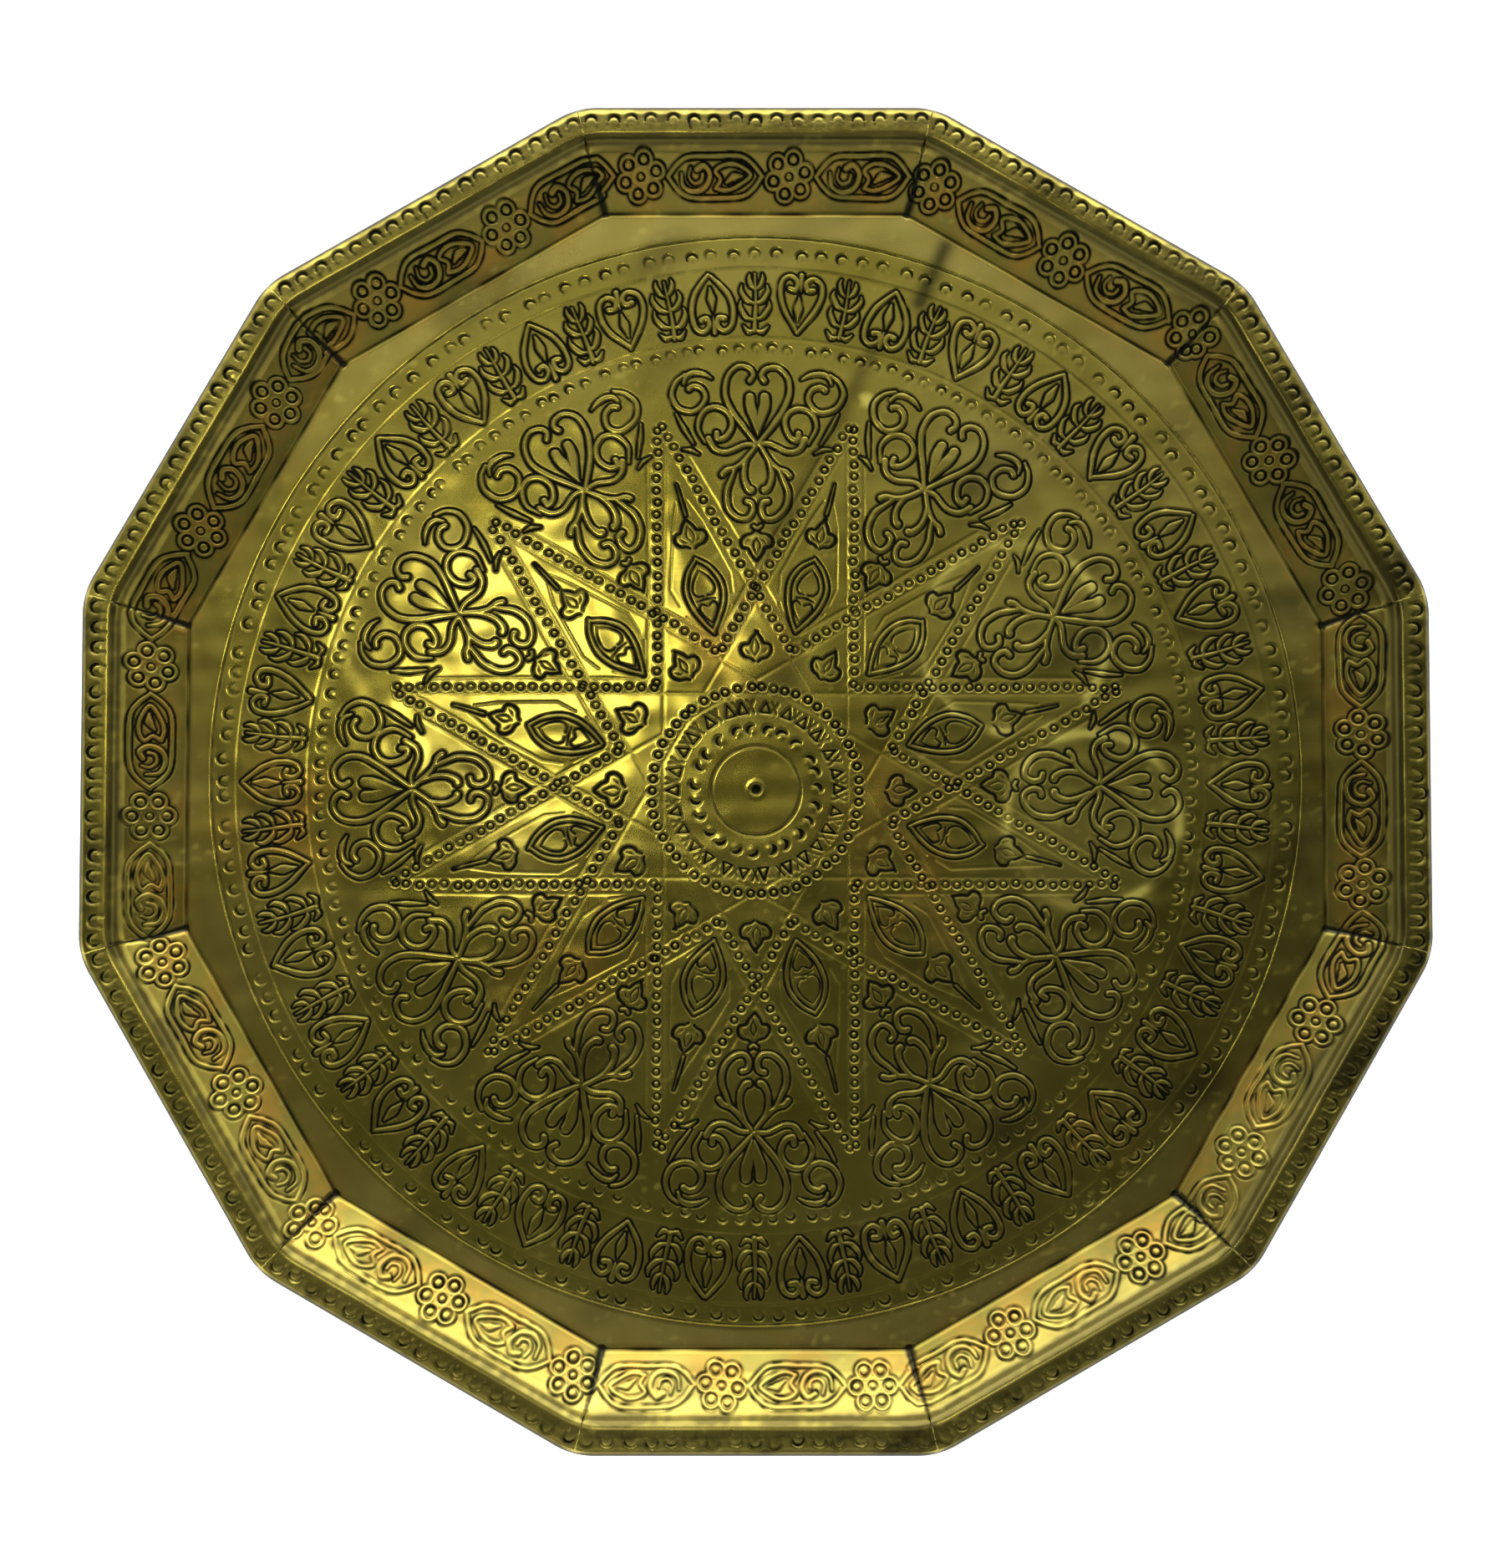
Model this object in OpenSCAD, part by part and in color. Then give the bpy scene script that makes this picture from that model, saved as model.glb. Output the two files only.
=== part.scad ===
/* [Tray] */
// Distance across the flats of the tray, from lip to lip
tray_flats = 580; // [540:10:620]
// Distance from the centre of the tray to the foot of its wall
floor_apothem = 246.6; // [230:0.2:250]
// Width of the sloping wall, seen from above
wall_plan = 27; // [24:0.5:30]
// Height of the top of the wall above the tray's underside
wall_top = 14.6; // [12:0.2:16]
// Height of the crest of the lip above the tray's underside
lip_crest = 20.6; // [18:0.2:24]
// Thickness of the brass sheet
sheet_t = 1.2; // [1:0.1:1.5]

/* [Stand] */
// Height of the folding stand
stand_h = 440; // [420:10:480]
// Distance between neighbouring hinge axes
hinge_pitch = 200; // [190:2:220]
// Thickness of the panels
panel_t = 20; // [16:1:22]
// Width of the stiles
stile_w = 26; // [24:1:30]
// Height of the top rail
top_rail_h = 30; // [25:1:35]
// Height of the mid rail
mid_rail_h = 25; // [20:1:30]
// Height of the underside of the mid rail above the ground
mid_rail_z = 245; // [240:1:250]

/* [Lattice] */
// Number of turned blocks along each side of the lattice
lattice_count = 5; // [4:1:6]
// Side of a lattice block
block_w = 14; // [10:1:16]
// Diameter of the thin part of a spindle
spindle_d = 6; // [5:0.5:8]

/* [Arch] */
// Thickness of the arch brackets
bracket_t = 10; // [8:1:14]
// Height of the arch brackets
bracket_h = 125; // [120:1:130]

/* [Hinges] */
// Height of a hinge leaf
leaf_h = 40; // [36:2:50]
// Distance from the hinge axis to the far edge of a leaf
leaf_w = 19; // [17:1:21]
// Thickness of a leaf
leaf_t = 1.5; // [1:0.1:1.5]
// Radius of the knuckles
knuckle_r = 3; // [2.8:0.1:3.1]
// Radius of the pin
pin_r = 1.5; // [1.2:0.1:1.8]

/* [Hidden] */
PIECES = ["stiles", "top_rail", "mid_rail", "lattice", "brackets",
          "hinge_leaves_right", "hinge_leaves_left", "hinge_pins", "screws"];
PANELS = [1:6];
$fn = 48;

// The hinge axes stand this far inward of the panels' inner faces
face_gap = 1.7;
// and each panel stops this far short of its two hinge axes
edge_gap = 3.3;
axis_apothem = hinge_pitch * sqrt(3) / 2;
panel_w = hinge_pitch - 2 * edge_gap;
window_w = panel_w - 2 * stile_w;
inner_face = -face_gap;
outer_face = -face_gap - panel_t;
mid_plane = (inner_face + outer_face) / 2;
window_z = mid_rail_z + mid_rail_h;
window_h = stand_h - top_rail_h - window_z;

// Running clearance of the hinge bores and of the screw holes
running = 0.05;
knuckle_gap = 0.2;
knuckle_h = (leaf_h - 2 * knuckle_gap) / 3;
// Height of the middle of the lower and the upper hinge
hinge_heights = [110, 350];
// Where the screws sit on a leaf: from the axis, and from the leaf's lower edge
screw_x = 12;
screw_heights = [9, leaf_h - 9];
screw_r = 1.4;
screw_head_r = 2.8;
screw_l = 14;
screw_slot = [0.6, 0.5];

// Tenons of the rails, and the clearance of their mortises
tenon_l = 12;
tenon_t = 8;
tenon_shoulder = 5;
mortise_gap = 0.05;

// The tray rests on the top rails with a hair of clearance
tray_z = stand_h + 0.1;
tray_sides = 12;
lip_apothem = tray_flats / 2;
lip_plan = lip_apothem - floor_apothem - wall_plan;

// A panel's own frame: x along the panel, y inward, and y = 0 on the hinge axes
module at_panel(k) {
  rotate(60 * (k - 1)) translate([0, -axis_apothem, 0]) children();
}

// Upper face of the sheet from the centre over the wall to the turned-down lip:
// distance from the centre to a flat side, and height above the tray's underside
function sheet_path() = [
  [0, sheet_t],
  [floor_apothem, sheet_t],
  [floor_apothem + wall_plan, wall_top],
  [floor_apothem + wall_plan + 0.22 * lip_plan, lip_crest - 1],
  [floor_apothem + wall_plan + 0.36 * lip_plan, lip_crest],
  [floor_apothem + wall_plan + 0.60 * lip_plan, lip_crest - 0.4],
  [floor_apothem + wall_plan + 0.86 * lip_plan, lip_crest - 1.8],
  [lip_apothem, lip_crest - 4.6]
];

// The path and its lower face, as distances to the corners of the twelve-sided tray
module sheet_profile() {
  path = sheet_path();
  last = len(path) - 1;
  to_corner = 1 / cos(180 / tray_sides);
  polygon(concat(
    [for (p = path) [p[0] * to_corner, p[1]]],
    [for (i = [last:-1:0]) [path[i][0] * to_corner, path[i][1] - sheet_t]]
  ));
}

// One dished and flanged sheet, with the middle of a side on each axis
module tray() {
  color("darkgoldenrod")
    translate([0, 0, tray_z])
      rotate(180 / tray_sides) rotate_extrude($fn = tray_sides) sheet_profile();
}

// A board that spans the window, from height z up, with a tenon at each end
module rail(z, h, grow) {
  length = window_w + 2 * tenon_l;
  translate([-window_w / 2, outer_face, z]) cube([window_w, panel_t, h]);
  translate([-length / 2 - grow, mid_plane - tenon_t / 2 - grow, z + tenon_shoulder - grow])
    cube([length + 2 * grow, tenon_t + 2 * grow, h - 2 * tenon_shoulder + 2 * grow]);
}

// Every place of a screw: children get x away from the panel's middle, heads inward
module at_screws() {
  for (side = [-1, 1], z = hinge_heights, s = screw_heights)
    translate([side * (hinge_pitch / 2 - screw_x), inner_face, z - leaf_h / 2 + s])
      rotate([90, 0, 0]) children();
}

module stiles() {
  color("saddlebrown")
    difference() {
      for (side = [-1, 1])
        translate([side * (panel_w - stile_w) / 2, mid_plane, stand_h / 2])
          cube([stile_w, panel_t, stand_h], center = true);
      rail(mid_rail_z, mid_rail_h, mortise_gap);
      rail(stand_h - top_rail_h, top_rail_h, mortise_gap);
      at_screws() translate([0, 0, -1]) cylinder(r = screw_r + running, h = screw_l + 2);
    }
}

module top_rail() {
  color("saddlebrown") rail(stand_h - top_rail_h, top_rail_h, 0);
}

module mid_rail() {
  color("saddlebrown") rail(mid_rail_z, mid_rail_h, 0);
}

// Turned spindles with square blocks, held by cross pegs
module lattice() {
  step_x = window_w / lattice_count;
  step_z = window_h / lattice_count;
  color("peru")
    translate([0, mid_plane, window_z]) {
      for (i = [0:lattice_count - 1]) {
        x = (i + 0.5) * step_x - window_w / 2;
        z = (i + 0.5) * step_z;
        translate([x, 0, 0]) cylinder(d = spindle_d, h = window_h);
        translate([-window_w / 2, 0, z]) rotate([0, 90, 0]) cylinder(d = spindle_d, h = window_w);
        for (j = [0:lattice_count - 1])
          translate([x, 0, (j + 0.5) * step_z]) cube(block_w, center = true);
      }
    }
}

// Two boards that leave a three-lobed arch between them
module brackets() {
  top_lobe_r = 48;
  side_lobe_r = 46;
  foot_w = 16;
  color("saddlebrown")
    translate([0, mid_plane, mid_rail_z])
      rotate([90, 0, 0])
        linear_extrude(height = bracket_t, center = true)
          difference() {
            translate([-window_w / 2, -bracket_h]) square([window_w, bracket_h]);
            square([0.4, 3 * bracket_h], center = true);
            translate([0, -67]) circle(r = top_lobe_r, $fn = 96);
            for (side = [-1, 1]) translate([side * 14, -85]) circle(r = side_lobe_r, $fn = 96);
            translate([-window_w / 2 + foot_w, -bracket_h - 1])
              square([window_w - 2 * foot_w, bracket_h - 84]);
          }
}

// One leaf with its plate along +x, its foot at z = 0 and knuckles at the given thirds
module leaf(thirds) {
  color("goldenrod")
    difference() {
      union() {
        translate([knuckle_r + 0.4, inner_face, 0])
          cube([leaf_w - knuckle_r - 0.4, leaf_t, leaf_h]);
        for (i = thirds)
          translate([0, 0, i * (knuckle_h + knuckle_gap)]) {
            cylinder(r = knuckle_r, h = knuckle_h);
            translate([0, inner_face, 0]) cube([knuckle_r + 1, leaf_t, knuckle_h]);
          }
      }
      translate([0, 0, -1]) cylinder(r = pin_r + running, h = leaf_h + 2);
      for (s = screw_heights)
        translate([screw_x, inner_face, s]) rotate([-90, 0, 0]) {
          translate([0, 0, -1]) cylinder(r = screw_r + running, h = leaf_t + 2);
          cylinder(r1 = screw_r + running, r2 = screw_head_r + running, h = leaf_t + 0.01);
        }
    }
}

// Two knuckles on the right-hand leaves, one between them on the left-hand leaves
module hinge_leaves_right() {
  for (z = hinge_heights)
    translate([hinge_pitch / 2, 0, z - leaf_h / 2]) mirror([1, 0, 0]) leaf([0, 2]);
}

module hinge_leaves_left() {
  for (z = hinge_heights)
    translate([-hinge_pitch / 2, 0, z - leaf_h / 2]) leaf([1]);
}

module hinge_pins() {
  color("gold")
    for (z = hinge_heights)
      translate([hinge_pitch / 2, 0, z - leaf_h / 2 - 0.5]) cylinder(r = pin_r, h = leaf_h + 1);
}

// Countersunk slotted screws that hold the leaves to the stiles
module screws() {
  color("gold")
    at_screws()
      difference() {
        union() {
          translate([0, 0, -leaf_t]) cylinder(r1 = screw_head_r, r2 = screw_r, h = leaf_t);
          cylinder(r = screw_r, h = screw_l);
        }
        translate([-4, -screw_slot[0] / 2, -leaf_t - 0.01])
          cube([8, screw_slot[0], screw_slot[1]]);
      }
}

tray();
for (k = PANELS) {
  at_panel(k) stiles();
  at_panel(k) top_rail();
  at_panel(k) mid_rail();
  at_panel(k) lattice();
  at_panel(k) brackets();
  at_panel(k) hinge_leaves_right();
  at_panel(k) hinge_leaves_left();
  at_panel(k) hinge_pins();
  at_panel(k) screws();
}
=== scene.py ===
import math

import bpy
import numpy as np
from mathutils import Matrix, Vector


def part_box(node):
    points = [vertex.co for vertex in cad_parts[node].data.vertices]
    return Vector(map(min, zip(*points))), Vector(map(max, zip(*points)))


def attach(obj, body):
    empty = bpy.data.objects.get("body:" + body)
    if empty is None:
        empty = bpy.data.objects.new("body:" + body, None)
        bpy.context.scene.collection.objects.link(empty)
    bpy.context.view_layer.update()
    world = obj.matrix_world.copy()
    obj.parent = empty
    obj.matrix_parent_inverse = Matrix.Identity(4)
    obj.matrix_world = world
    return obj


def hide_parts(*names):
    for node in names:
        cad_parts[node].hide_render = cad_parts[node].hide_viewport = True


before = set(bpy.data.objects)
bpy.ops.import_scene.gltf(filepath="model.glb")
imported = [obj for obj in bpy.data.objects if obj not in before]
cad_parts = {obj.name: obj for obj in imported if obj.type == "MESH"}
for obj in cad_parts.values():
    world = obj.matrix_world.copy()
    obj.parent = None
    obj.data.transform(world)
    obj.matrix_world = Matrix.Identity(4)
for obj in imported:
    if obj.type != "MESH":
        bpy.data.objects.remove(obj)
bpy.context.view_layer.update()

MM = 0.001
rng = np.random.default_rng(7)

# ---- tray sizes, in millimetres

SIDES = 12
SECTOR = 2 * math.pi / SIDES
HALF_SIDE = math.tan(SECTOR / 2)           # half a side's length for each millimetre of apothem
tray_low, tray_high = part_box("tray")
TRAY_Z = tray_low.z / MM                   # underside of the tray's floor
LIP = tray_high.x / MM                     # apothem of the outer edge
DEPTH = (tray_high.z - tray_low.z) / MM
SHEET = 1.2
FLOOR = 246.6                              # apothem of the foot of the wall
BAND = 261.5                               # apothem of the middle of the band on the wall
WALL_TOP = 272.0

# apothem and height of the sheet's upper face, from the centre out
PROFILE = [(0, SHEET), (FLOOR, SHEET), (256, 5.3), (266, 10.5), (271, 13.7), (273.2, 15.9), (275.2, 18.5),
           (276.8, 19.9), (278.4, DEPTH - 0.2), (282, DEPTH), (286.4, DEPTH - 0.5), (288.6, DEPTH - 1.6),
           (LIP, DEPTH - 4.4)]

ENGRAVED_R = 236.2                         # engraved circle round the floor's ornament
OUTER_ARCS_R = 231.4
FRIEZE_R = 210.0
INNER_ARCS_R = 189.7
STAR_D = 42.8                              # distance of the star's twelve lines from the centre
STAR_END = 158.0                           # how far each line runs on either side of its middle
CENTRE_RING_R = 45.0
HATCH_R = 36.4
CENTRE_ARCS_R = 26.0
DISC_R = 19.4

# The ornament was set out by eye, so its rounds sit this far off the tray's centre, along y
STAR_SLIP = -4.2
CENTRE_SLIP = -6.3
FRIEZE_SLIP = -2.5
OUTER_ARCS_SLIP = -1.5
INNER_ARCS_SLIP = -2.0


# ---- drawing on the sheet

class Canvas:
    """Fields over the plan of the tray: distance to the nearest raised ribbon, and punched depth."""

    def __init__(self, cell):
        self.cell = cell
        self.half = LIP * 1.04
        n = int(2 * self.half / cell) + 1
        self.axis = (np.arange(n) * cell - self.half).astype(np.float32)
        self.ribbon = np.full((n, n), 9.0, np.float32)
        self.dent = np.zeros((n, n), np.float32)
        self.swell = np.zeros((n, n), np.float32)
        self.slip = 0.0                        # how far the next marks sit out of centre along y

    def window(self, low_x, low_y, high_x, high_y):
        """Slices and coordinates of the cells in a box."""
        i0 = max(int((low_x + self.half) / self.cell), 0)
        i1 = int((high_x + self.half) / self.cell) + 2
        j0 = max(int((low_y + self.slip + self.half) / self.cell), 0)
        j1 = int((high_y + self.slip + self.half) / self.cell) + 2
        return (slice(j0, j1), slice(i0, i1)), self.axis[None, i0:i1], self.axis[j0:j1, None] - self.slip

    def about(self, x0, y0, reach):
        """The cells near a point, and how far from it they lie along x and y."""
        where, x, y = self.window(x0 - reach, y0 - reach, x0 + reach, y0 + reach)
        return where, x - x0, y - y0

    def stretches(self, points, reach):
        """Between each two points: the cells near by, how far along they are and how far away."""
        points = np.asarray(points, float)
        for (ax, ay), (bx, by) in zip(points[:-1], points[1:]):
            where, x, y = self.window(min(ax, bx) - reach, min(ay, by) - reach,
                                      max(ax, bx) + reach, max(ay, by) + reach)
            dx, dy = bx - ax, by - ay
            t = np.clip(((x - ax) * dx + (y - ay) * dy) / (dx * dx + dy * dy + 1e-9), 0, 1)
            yield where, t, np.hypot(x - ax - t * dx, y - ay - t * dy)

    def draw(self, points, width):
        """A raised ribbon along points; width is its half width, or one for each point.
        A half width below 0 leaves only a single chased line."""
        width = np.broadcast_to(np.asarray(width, float), (len(points),))
        margin = 1.8
        cells = self.stretches(points, width.max() + margin)
        for (where, t, gap), w0, w1 in zip(cells, width[:-1], width[1:]):
            np.minimum(self.ribbon[where], gap - (w0 + (w1 - w0) * t), out=self.ribbon[where])

    def line(self, points, width, depth):
        """A groove along points, deepest along its middle."""
        for where, _, gap in self.stretches(points, 2.6 * width):
            np.maximum(self.dent[where], depth * np.exp(-(gap / width) ** 2), out=self.dent[where])

    def ring(self, x0, y0, radius, width, depth):
        """The mark of a ring punch: a round groove with a raised eye and a faint burr."""
        where, dx, dy = self.about(x0, y0, radius + 3 * width)
        d = np.hypot(dx, dy)
        groove = depth * np.exp(-((d - radius) / width) ** 2)
        eye = 0.1 * depth * np.exp(-(d / (0.6 * radius)) ** 2)
        burr = 0.12 * depth * np.exp(-((d - radius - 1.9 * width) / (0.7 * width)) ** 2)
        np.maximum(self.dent[where], groove, out=self.dent[where])
        self.swell[where] += eye + burr

    def crescent(self, x0, y0, facing, radius, width, depth, sweep):
        """The mark of a crescent punch: part of a round groove, thinning to its ends."""
        where, dx, dy = self.about(x0, y0, radius + 3 * width)
        d = np.hypot(dx, dy)
        turn = np.abs((np.arctan2(dy, dx) - facing + math.pi) % (2 * math.pi) - math.pi)
        fade = np.clip(1 - (turn / sweep) ** 2, 0, 1)
        groove = depth * fade * np.exp(-((d - radius) / (width * (0.35 + 0.65 * fade))) ** 2)
        np.maximum(self.dent[where], groove, out=self.dent[where])
        self.swell[where] += 0.12 * depth * np.exp(-(d / (0.62 * radius)) ** 2)

    def arch(self, x0, y0, facing, radius, leg, width, depth):
        """The mark of an arch punch: a bent groove that fades down its two legs, round a raised eye."""
        half_turn = np.linspace(-math.pi / 2, math.pi / 2, 7)
        head = [(radius * math.sin(t), radius * math.cos(t)) for t in half_turn]
        bow = [(-radius, -leg)] + head + [(radius, -leg)]
        c, s = math.cos(facing), math.sin(facing)
        path = [(x0 + v * c + u * s, y0 + v * s - u * c) for u, v in bow]
        fade = (0.35, 0.7, 0.9, 1.0, 1.0, 0.9, 0.7, 0.35)
        for p, q, f in zip(path[:-1], path[1:], fade):
            self.line([p, q], width * (0.6 + 0.4 * f), depth * f)
        where, dx, dy = self.about(x0, y0, radius)
        self.swell[where] += 0.16 * depth * np.exp(-(dx ** 2 + dy ** 2) / (0.5 * radius) ** 2)

    def disc(self, x0, y0, radius):
        """A raised round field."""
        where, dx, dy = self.about(x0, y0, radius + 2.5)
        np.minimum(self.ribbon[where], np.hypot(dx, dy) - radius, out=self.ribbon[where])


def curve(points, step=0.9):
    """A smooth line through given points."""
    p = np.asarray(points, float)
    p = np.vstack([2 * p[0] - p[1], p, 2 * p[-1] - p[-2]])
    out = []
    for a, b, c, d in zip(p[:-3], p[1:-2], p[2:-1], p[3:]):
        n = max(2, int(np.hypot(*(c - b)) / step))
        t = np.linspace(0, 1, n, endpoint=False)[:, None]
        out.append(0.5 * (2 * b + (c - a) * t + (2 * a - 5 * b + 4 * c - d) * t ** 2
                          + (3 * b - a - 3 * c + d) * t ** 3))
    out.append(p[-2][None])
    return np.vstack(out)


def taper(points, *widths):
    """Half widths that pass evenly through the given ones from the first point to the last."""
    return np.interp(np.linspace(0, 1, len(points)), np.linspace(0, 1, len(widths)), widths)


def mirrored(strokes):
    """Each stroke and its mirror image in the motif's middle line."""
    return strokes + [(np.asarray(p) * (-1, 1), w) for p, w in strokes]


def moved(strokes, u=0.0, v=0.0, turn=0.0, size=1.0):
    """Strokes scaled, turned by an angle in radians and shifted."""
    c, s = math.cos(turn), math.sin(turn)
    spin = np.array([[c, s], [-s, c]])
    return [(np.asarray(p) * size @ spin + (u, v), np.asarray(w) * size) for p, w in strokes]


def stroke(points, *widths, step=0.9):
    """A curved stroke and its half widths."""
    line = curve(points, step)
    return line, taper(line, *widths)


def circle(radius, count):
    """Points of a closed circle round the origin."""
    turn = np.linspace(0, 2 * math.pi, count)
    return radius * np.column_stack([np.cos(turn), np.sin(turn)])


# ---- motifs: u across, v outward

def palmette():
    """Three lobes, the middle one pointed, and a leaf in each, all in single chased lines."""
    outline = stroke([(0.9, -6.0), (2.4, -4.9), (5.3, -4.1), (7.3, -1.4), (6.6, 1.6), (3.6, 2.4),
                      (2.7, 4.6), (0, 8.3)], -0.5, -0.3, -0.35, -0.4, step=0.8)
    side = stroke([(1.9, -2.9), (3.6, -1.9), (4.9, -0.3)], -1.2, -0.8, -1.1, step=0.7)
    middle = stroke([(0, -2.8), (1.4, -0.8), (1.4, 1.4), (0, 4.8)], -0.9, -0.75, -0.9, step=0.7)
    return mirrored([outline, side, middle])


def fan():
    """The arabesque between two points of the star."""
    heart = stroke([(-0.6, 147), (-5.5, 153.5), (-10.5, 160.5), (-13.8, 168), (-13, 175.3),
                    (-8.6, 179.6), (-3.8, 179.2), (-1.8, 176.4), (-3.1, 173.9)],
                   0.8, 1.15, 1.2, 1.05, 0.95, 1.15)
    leaf = stroke([(-0.1, 150.5), (-1.5, 157), (-3.2, 163), (-3.3, 166.5)], 0.4, 1.5, 2.3, 2.0)
    volute = stroke([(-22, 147), (-25.3, 153.5), (-23.3, 160), (-18.2, 162.2), (-13.2, 160),
                     (-11.3, 155), (-13.6, 149.6), (-17, 148.5), (-17.4, 151.2)],
                    0.5, 0.95, 1.1, 1.1, 1.15)
    stem = stroke([(-1, 146.5), (-5.5, 146.6), (-12.5, 143.6), (-17.5, 144.6), (-20.4, 148.9)],
                  0.9, 1.0, 1.0, 1.3)
    corner = stroke([(-29.6, 170.4), (-27.4, 171.6), (-23.6, 170), (-22.1, 165.6), (-24.6, 161.4),
                     (-28.6, 160), (-34.3, 162.2), (-37.2, 168), (-35.4, 173.6), (-31.6, 176.8)],
                    1.2, 1.0, 1.1, 1.0, 0.6)
    cap = stroke([(-31.8, 172.4), (-30.6, 175.4), (-27.4, 176.8), (-23, 176.4), (-19.4, 174.8)],
                 0.5, 1.1, 1.0, 0.3)
    edge = stroke([(-35, 159), (-31.8, 153.6), (-26.8, 146.6)], 0.3, 0.9, 0.3)
    sliver = stroke([(-31.6, 144.4), (-28, 144.2), (-24.4, 142.4)], 0.2, 0.7, 0.2)
    knob = stroke([(-0.8, 145.6), (-5.2, 139.8), (-9.3, 136.5), (-12.9, 135.2), (-14.6, 133.4)],
                  0.9, 1.0, 0.9, 1.2)
    lower = stroke([(-9.6, 136), (-11.4, 131.4), (-13.3, 126.2), (-12.6, 119.4), (-8.6, 114.8),
                    (-4, 114.2), (-1.8, 117.6), (-2.4, 121), (-4.6, 121.8)],
                   0.7, 1.1, 1.15, 1.0, 1.1)
    tongue = stroke([(-3.2, 142.4), (-5.6, 137), (-6, 131.4), (-4.2, 127.4), (-2.8, 126.8)],
                    0.6, 1.0, 1.1, 1.5)
    tip = moved(palmette(), v=103.6, turn=math.pi, size=0.92)
    tie = stroke([(-1.6, 111.2), (0, 110.2), (1.6, 111.2)], 0.6)
    sides = [heart, leaf, volute, stem, corner, cap, edge, sliver, knob, lower, tongue]
    return mirrored(sides) + tip + [tie]


def almond():
    """A pointed oval frame with a knotted heart inside."""
    frame_side = stroke([(0, 103.4), (4.9, 98.4), (7.9, 91), (7.1, 83.2), (3.9, 76.4), (0, 70.6)],
                        0.5, 0.75, 0.75, 0.5)
    arch = stroke([(0, 98.8), (3.2, 95.2), (4.9, 90.4), (3.4, 87.4), (1, 87.2)], -0.8, -0.55, -0.65)
    bar = stroke([(-4.2, 85.2), (0, 85.8), (4.2, 85.2)], -0.8, -0.5, -0.8)
    heart = stroke([(0, 75.4), (2.7, 78.8), (4.3, 82), (2.8, 84), (0.5, 82.6)], -0.8, -0.5, -0.65)
    return mirrored([frame_side, arch, heart]) + [bar]


def kite():
    """The field inside one point of the star."""
    stem = stroke([(0, 121.8), (0, 128), (0, 136)], 0.4, 0.3, 0.1)
    return moved(palmette(), v=112.4, size=0.93) + moved(almond(), v=-1.5) + [stem]


def frieze_heart():
    """A mirrored pair of scrolls that meet in a point, with a leaf between them."""
    scroll = stroke([(0.3, -12.6), (3.6, -8.6), (7.2, -3.4), (9.2, 3.2), (8.4, 9.4), (4.8, 11.6),
                     (1.8, 9.2), (2.6, 6), (5.2, 6.4)], 0.7, 1.05, 1.05, 0.95, 1.1)
    leaf = stroke([(0, -7.4), (0, -2.4), (0, 3.4)], 0.3, 1.9, 0.3)
    bud = stroke([(0, 12.2), (0, 9), (0, 5.4)], 1.2, 0.8, 0.3)
    return mirrored([scroll]) + [leaf, bud]


def frieze_fern():
    """An upright stem with three pairs of curved leaves."""
    stem = stroke([(0, -12.4), (0, 0), (0, 12.4)], 1.0, 0.6, 0.3)
    low = stroke([(0.5, -7.6), (3.8, -6.8), (6.4, -2.8), (6.2, 0.2)], 0.4, 1.15, 1.0, 0.2)
    middle = stroke([(0.5, -0.4), (3.5, 0.8), (5.8, 4.6), (5.4, 7.4)], 0.4, 1.1, 0.9, 0.2)
    high = stroke([(0.4, 5.6), (2.4, 7.2), (3.4, 10.4), (3.0, 12.4)], 0.3, 0.95, 0.8, 0.2)
    foot = stroke([(0.6, -12), (3.4, -12.4), (5.8, -9.8)], 0.5, 1.0, 0.2)
    return mirrored([low, middle, high, foot]) + [stem]


def cartouche():
    """The long pointed frame on the wall, with a volute and a leaf."""
    top = stroke([(-20.6, 0), (-16.4, 5), (-11, 8), (0, 8.3), (11, 8), (16.4, 5), (20.6, 0)],
                 0.75, 0.85, 0.75)
    bottom = (top[0] * (1, -1), top[1])
    volute = stroke([(-14.6, 1.6), (-13.6, -3.6), (-9, -6), (-4, -4.4), (-1.9, 0.6), (-4.4, 4.4),
                     (-7.6, 3.2)], 0.4, 0.9, 0.95, 1.0)
    curl = stroke([(-10.6, 3.4), (-11.4, 0), (-9.2, -2.6), (-6, -1.8), (-5.2, 0.8)],
                  0.35, 0.55, 0.6)
    leaf = stroke([(0.6, -4.6), (5, -5.6), (10, -4), (15.6, 0.4), (10, 4.4), (4.4, 4.8), (0.4, 2.4),
                   (2.6, -1), (0.6, -4.6)], 0.7)
    heart = stroke([(5, -2), (8.4, 0.2), (12.2, 0.4)], 0.4, 1.5, 0.3)
    return [top, bottom, volute, curl, leaf, heart]


# ---- placing the motifs

def wobble(points, amount):
    """The small drift of hand work: a smooth shift of each point, never the same twice."""
    p = np.asarray(points, float)
    phase = rng.uniform(0, 2 * math.pi, 4)
    shift = np.column_stack([np.sin(p[:, 0] * 0.21 + phase[0]) + np.sin(p[:, 1] * 0.17 + phase[1]),
                             np.sin(p[:, 0] * 0.19 + phase[2]) + np.sin(p[:, 1] * 0.23 + phase[3])])
    return p + amount * shift


def around(points, angle):
    """Motif coordinates, with v along the ray at this angle, to the plan of the tray."""
    p = np.asarray(points, float)
    c, s = math.cos(angle), math.sin(angle)
    return np.column_stack([p[:, 1] * c + p[:, 0] * s, p[:, 1] * s - p[:, 0] * c])


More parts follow.
